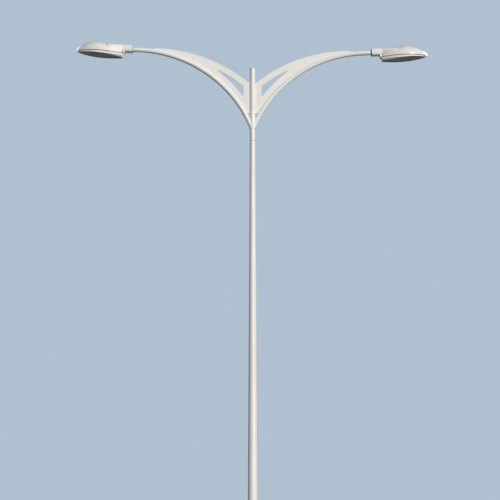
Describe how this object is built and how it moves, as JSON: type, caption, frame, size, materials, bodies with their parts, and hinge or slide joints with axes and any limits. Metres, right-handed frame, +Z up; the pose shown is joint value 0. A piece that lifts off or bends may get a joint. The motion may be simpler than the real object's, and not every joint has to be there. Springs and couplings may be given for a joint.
{
  "type": "twin-arm street lighting column",
  "caption": "Tall conical steel lighting column with a curved double bracket, web plates and a lantern on each arm with a hinged lens frame.",
  "frame": {"origin": "centre of the base plate's underside, at ground level", "axes": "+Z up along the pole, X along the two arms, +X the right-hand arm seen from -Y; the access door faces -Y"},
  "size_m": [4.6774, 0.4, 10.0939],
  "materials": {
    "white_paint": "satin paint over galvanized steel",
    "arm_paint": "glossy white paint on steel tube",
    "galvanized": "galvanized",
    "cast_grey": "satin light grey paint on cast aluminium",
    "canopy_grey": "satin light grey paint on pressed aluminium",
    "bright_metal": "bright spring steel",
    "reflector": "bright anodized",
    "glass": "clear, slightly tinted",
    "lamp_glass": "clear",
    "porcelain": "glazed",
    "rubber": "matt black",
    "cap": "moulded grey"
  },
  "bodies": {
    "column": {"base_plate": "galvanized", "base_gussets": "galvanized", "shaft": "white_paint", "door_frame": "galvanized", "access_door": "white_paint", "top_spigot": "galvanized", "joint_seal": "rubber", "bracket_tube": "white_paint", "bracket_cap": "cap", "left_arm": "arm_paint", "left_web": "white_paint", "left_canopy": "canopy_grey", "left_gear_housing": "cast_grey", "left_gear_tray": "galvanized", "left_collar_ring": "rubber", "left_hinge_pin": "bright_metal", "left_lampholder": "porcelain", "left_lamp": "lamp_glass", "left_reflector": "reflector", "left_clip": "bright_metal", "right_arm": "arm_paint", "right_web": "white_paint", "right_canopy": "canopy_grey", "right_gear_housing": "cast_grey", "right_gear_tray": "galvanized", "right_collar_ring": "rubber", "right_hinge_pin": "bright_metal", "right_lampholder": "porcelain", "right_lamp": "lamp_glass", "right_reflector": "reflector", "right_clip": "bright_metal"},
    "left_lens": {"left_lens_frame": "cast_grey", "left_lens_glass": "glass", "left_frame_seal": "rubber"},
    "right_lens": {"right_lens_frame": "cast_grey", "right_lens_glass": "glass", "right_frame_seal": "rubber"}
  },
  "joints": [
    {"name": "left_lens_hinge", "type": "hinge", "parent": "column", "child": "left_lens", "pos_m": [-1.70903, 0, 9.92797], "axis": [0, -1, 0], "range_deg": [0, 70]},
    {"name": "right_lens_hinge", "type": "hinge", "parent": "column", "child": "right_lens", "pos_m": [1.70903, 0, 9.92797], "axis": [0, 1, 0], "range_deg": [0, 70]}
  ]
}
